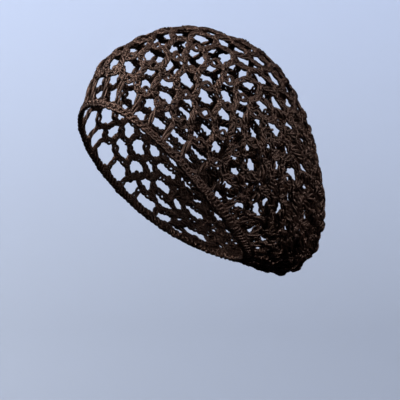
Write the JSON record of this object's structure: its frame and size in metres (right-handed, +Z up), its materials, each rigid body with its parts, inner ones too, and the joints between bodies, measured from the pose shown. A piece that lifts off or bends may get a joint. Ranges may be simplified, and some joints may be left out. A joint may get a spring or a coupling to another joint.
{
  "type": "crochet hair snood",
  "caption": "Open crocheted net bag that holds the hair at the back of the head, with a plump edge band around the face and nape.",
  "frame": {"origin": "seat of the head: the inside of the crown at its top, in the middle plane", "axes": "+Z up through the crown, -Y towards the face, +X towards the wearer's left side"},
  "size_m": [0.1728, 0.2698, 0.2591],
  "materials": {
    "net_yarn": "shiny dark brown rayon yarn",
    "band_yarn": "shiny dark brown rayon yarn in tight stitches"
  },
  "bodies": {
    "root": {"net": "net_yarn", "edge_band": "band_yarn"}
  },
  "joints": []
}
